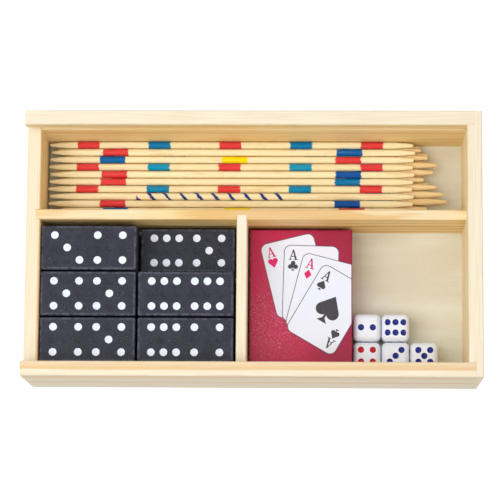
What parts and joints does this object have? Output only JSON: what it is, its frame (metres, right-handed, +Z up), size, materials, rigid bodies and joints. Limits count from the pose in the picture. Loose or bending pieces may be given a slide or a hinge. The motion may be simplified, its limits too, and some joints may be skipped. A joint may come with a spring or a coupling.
{
  "type": "games compendium box",
  "caption": "Open pine tray grooved for a sliding lid, divided into bays that hold pick-up sticks, stacked dominoes, a cased pack of small cards and dice.",
  "frame": {"origin": "middle of the tray's underside", "axes": "+X along the tray towards its full-height end, +Y towards the stick bay at the back, +Z up"},
  "size_m": [0.19, 0.111, 0.048],
  "materials": {
    "pine": "sanded, clear satin",
    "plywood": "sanded, bare",
    "bamboo": "smooth, with painted bands",
    "black_lacquer": "satin lacquer with white painted pips",
    "white_plastic": "polished with painted pips",
    "printed_card": "glossy print",
    "card_stock": "coated"
  },
  "bodies": {
    "box": {"base_panel": "plywood", "back_wall": "pine", "front_wall": "pine", "left_end_wall": "pine", "right_end_wall": "pine", "long_divider": "pine", "short_divider": "pine"},
    "card_pack": {"card_case": "printed_card", "playing_card_deck": "card_stock"},
    "stick_bundle": {"pick_up_stick_spiral": "bamboo", "pick_up_sticks_five_band": "bamboo", "pick_up_sticks_three_band": "bamboo", "pick_up_sticks_wide_two_band": "bamboo", "pick_up_sticks_light_two_band": "bamboo"},
    "die_back_left": {"die_back_left": "white_plastic"},
    "die_back_middle": {"die_back_middle": "white_plastic"},
    "die_front_left": {"die_front_left": "white_plastic"},
    "die_front_middle": {"die_front_middle": "white_plastic"},
    "die_front_right": {"die_front_right": "white_plastic"},
    "domino_0_0": {"domino_0_0": "black_lacquer"},
    "domino_0_5": {"domino_0_5": "black_lacquer"},
    "domino_1_3": {"domino_1_3": "black_lacquer"},
    "domino_2_6": {"domino_2_6": "black_lacquer"},
    "domino_3_4": {"domino_3_4": "black_lacquer"},
    "domino_0_1": {"domino_0_1": "black_lacquer"},
    "domino_0_6": {"domino_0_6": "black_lacquer"},
    "domino_1_4": {"domino_1_4": "black_lacquer"},
    "domino_3_3": {"domino_3_3": "black_lacquer"},
    "domino_5_5": {"domino_5_5": "black_lacquer"},
    "domino_0_2": {"domino_0_2": "black_lacquer"},
    "domino_1_1": {"domino_1_1": "black_lacquer"},
    "domino_1_5": {"domino_1_5": "black_lacquer"},
    "domino_3_5": {"domino_3_5": "black_lacquer"},
    "domino_4_5": {"domino_4_5": "black_lacquer"},
    "domino_0_3": {"domino_0_3": "black_lacquer"},
    "domino_1_6": {"domino_1_6": "black_lacquer"},
    "domino_6_5": {"domino_6_5": "black_lacquer"},
    "domino_0_4": {"domino_0_4": "black_lacquer"},
    "domino_1_2": {"domino_1_2": "black_lacquer"},
    "domino_2_3": {"domino_2_3": "black_lacquer"},
    "domino_3_6": {"domino_3_6": "black_lacquer"},
    "domino_6_6": {"domino_6_6": "black_lacquer"},
    "domino_2_2": {"domino_2_2": "black_lacquer"},
    "domino_2_4": {"domino_2_4": "black_lacquer"},
    "domino_2_5": {"domino_2_5": "black_lacquer"},
    "domino_4_4": {"domino_4_4": "black_lacquer"},
    "domino_6_4": {"domino_6_4": "black_lacquer"}
  },
  "joints": [
    {"name": "card_pack_lift", "type": "slide", "parent": "box", "child": "card_pack", "axis": [0, 0, 1], "range_m": [0, 0.047]},
    {"name": "stick_bundle_lift", "type": "slide", "parent": "box", "child": "stick_bundle", "axis": [0, 0, 1], "range_m": [0, 0.047]},
    {"name": "die_back_left_lift", "type": "slide", "parent": "box", "child": "die_back_left", "axis": [0, 0, 1], "range_m": [0, 0.047]},
    {"name": "die_back_middle_lift", "type": "slide", "parent": "box", "child": "die_back_middle", "axis": [0, 0, 1], "range_m": [0, 0.047]},
    {"name": "die_front_left_lift", "type": "slide", "parent": "box", "child": "die_front_left", "axis": [0, 0, 1], "range_m": [0, 0.047]},
    {"name": "die_front_middle_lift", "type": "slide", "parent": "box", "child": "die_front_middle", "axis": [0, 0, 1], "range_m": [0, 0.047]},
    {"name": "die_front_right_lift", "type": "slide", "parent": "box", "child": "die_front_right", "axis": [0, 0, 1], "range_m": [0, 0.047]},
    {"name": "domino_0_0_lift", "type": "slide", "parent": "box", "child": "domino_0_0", "axis": [0, 0, 1], "range_m": [0, 0.047]},
    {"name": "domino_0_5_lift", "type": "slide", "parent": "domino_0_0", "child": "domino_0_5", "axis": [0, 0, 1], "range_m": [0, 0.0406]},
    {"name": "domino_1_3_lift", "type": "slide", "parent": "domino_0_5", "child": "domino_1_3", "axis": [0, 0, 1], "range_m": [0, 0.0342]},
    {"name": "domino_2_6_lift", "type": "slide", "parent": "domino_1_3", "child": "domino_2_6", "axis": [0, 0, 1], "range_m": [0, 0.0278]},
    {"name": "domino_3_4_lift", "type": "slide", "parent": "domino_2_6", "child": "domino_3_4", "axis": [0, 0, 1], "range_m": [0, 0.0214]},
    {"name": "domino_0_1_lift", "type": "slide", "parent": "box", "child": "domino_0_1", "axis": [0, 0, 1], "range_m": [0, 0.047]},
    {"name": "domino_0_6_lift", "type": "slide", "parent": "domino_0_1", "child": "domino_0_6", "axis": [0, 0, 1], "range_m": [0, 0.0406]},
    {"name": "domino_1_4_lift", "type": "slide", "parent": "domino_0_6", "child": "domino_1_4", "axis": [0, 0, 1], "range_m": [0, 0.0342]},
    {"name": "domino_3_3_lift", "type": "slide", "parent": "domino_1_4", "child": "domino_3_3", "axis": [0, 0, 1], "range_m": [0, 0.0278]},
    {"name": "domino_5_5_lift", "type": "slide", "parent": "domino_3_3", "child": "domino_5_5", "axis": [0, 0, 1], "range_m": [0, 0.0214]},
    {"name": "domino_0_2_lift", "type": "slide", "parent": "box", "child": "domino_0_2", "axis": [0, 0, 1], "range_m": [0, 0.047]},
    {"name": "domino_1_1_lift", "type": "slide", "parent": "domino_0_2", "child": "domino_1_1", "axis": [0, 0, 1], "range_m": [0, 0.0406]},
    {"name": "domino_1_5_lift", "type": "slide", "parent": "domino_1_1", "child": "domino_1_5", "axis": [0, 0, 1], "range_m": [0, 0.0342]},
    {"name": "domino_3_5_lift", "type": "slide", "parent": "domino_1_5", "child": "domino_3_5", "axis": [0, 0, 1], "range_m": [0, 0.0278]},
    {"name": "domino_4_5_lift", "type": "slide", "parent": "domino_3_5", "child": "domino_4_5", "axis": [0, 0, 1], "range_m": [0, 0.0214]},
    {"name": "domino_0_3_lift", "type": "slide", "parent": "box", "child": "domino_0_3", "axis": [0, 0, 1], "range_m": [0, 0.047]},
    {"name": "domino_1_6_lift", "type": "slide", "parent": "domino_0_3", "child": "domino_1_6", "axis": [0, 0, 1], "range_m": [0, 0.0406]},
    {"name": "domino_6_5_lift", "type": "slide", "parent": "domino_1_6", "child": "domino_6_5", "axis": [0, 0, 1], "range_m": [0, 0.0342]},
    {"name": "domino_0_4_lift", "type": "slide", "parent": "box", "child": "domino_0_4", "axis": [0, 0, 1], "range_m": [0, 0.047]},
    {"name": "domino_1_2_lift", "type": "slide", "parent": "domino_0_4", "child": "domino_1_2", "axis": [0, 0, 1], "range_m": [0, 0.0406]},
    {"name": "domino_2_3_lift", "type": "slide", "parent": "domino_1_2", "child": "domino_2_3", "axis": [0, 0, 1], "range_m": [0, 0.0342]},
    {"name": "domino_3_6_lift", "type": "slide", "parent": "domino_2_3", "child": "domino_3_6", "axis": [0, 0, 1], "range_m": [0, 0.0278]},
    {"name": "domino_6_6_lift", "type": "slide", "parent": "domino_3_6", "child": "domino_6_6", "axis": [0, 0, 1], "range_m": [0, 0.0214]},
    {"name": "domino_2_2_lift", "type": "slide", "parent": "box", "child": "domino_2_2", "axis": [0, 0, 1], "range_m": [0, 0.047]},
    {"name": "domino_2_4_lift", "type": "slide", "parent": "domino_2_2", "child": "domino_2_4", "axis": [0, 0, 1], "range_m": [0, 0.0406]},
    {"name": "domino_2_5_lift", "type": "slide", "parent": "domino_2_4", "child": "domino_2_5", "axis": [0, 0, 1], "range_m": [0, 0.0342]},
    {"name": "domino_4_4_lift", "type": "slide", "parent": "domino_2_5", "child": "domino_4_4", "axis": [0, 0, 1], "range_m": [0, 0.0278]},
    {"name": "domino_6_4_lift", "type": "slide", "parent": "domino_4_4", "child": "domino_6_4", "axis": [0, 0, 1], "range_m": [0, 0.0214]}
  ]
}
